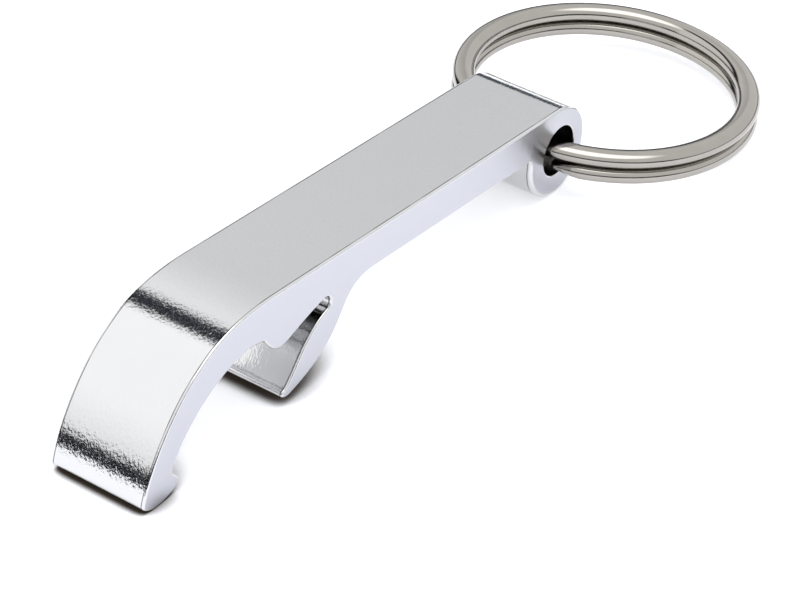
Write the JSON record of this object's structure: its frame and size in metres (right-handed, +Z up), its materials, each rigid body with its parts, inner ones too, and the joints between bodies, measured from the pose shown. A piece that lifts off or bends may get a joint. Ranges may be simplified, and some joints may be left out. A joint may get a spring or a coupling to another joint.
{
  "type": "keychain bottle opener",
  "caption": "Extruded aluminium bottle opener with a curved hook, a lifter and a slot between them, hung on a steel split key ring that swings in a cross bore.",
  "frame": {"origin": "middle of the footprint of the whole object, opener and ring, on the surface it stands on", "axes": "+X along the opener from the hook's tip to the ring, +Z up, +Y across the opener's width"},
  "size_m": [0.0884, 0.03, 0.0125],
  "materials": {
    "opener_aluminium": "bright anodised, satin top with faint orange peel, tumbled edges",
    "ring_nickel": "nickel plated spring steel, polished"
  },
  "bodies": {
    "opener": {"opener_body": "opener_aluminium"},
    "ring": {"split_ring": "ring_nickel"}
  },
  "joints": [
    {"name": "ring_swing", "type": "hinge", "parent": "opener", "child": "ring", "pos_m": [0.01606, 0.00138, 0.00442], "axis": [0, -1, 0], "range_deg": [-177, 163]}
  ]
}
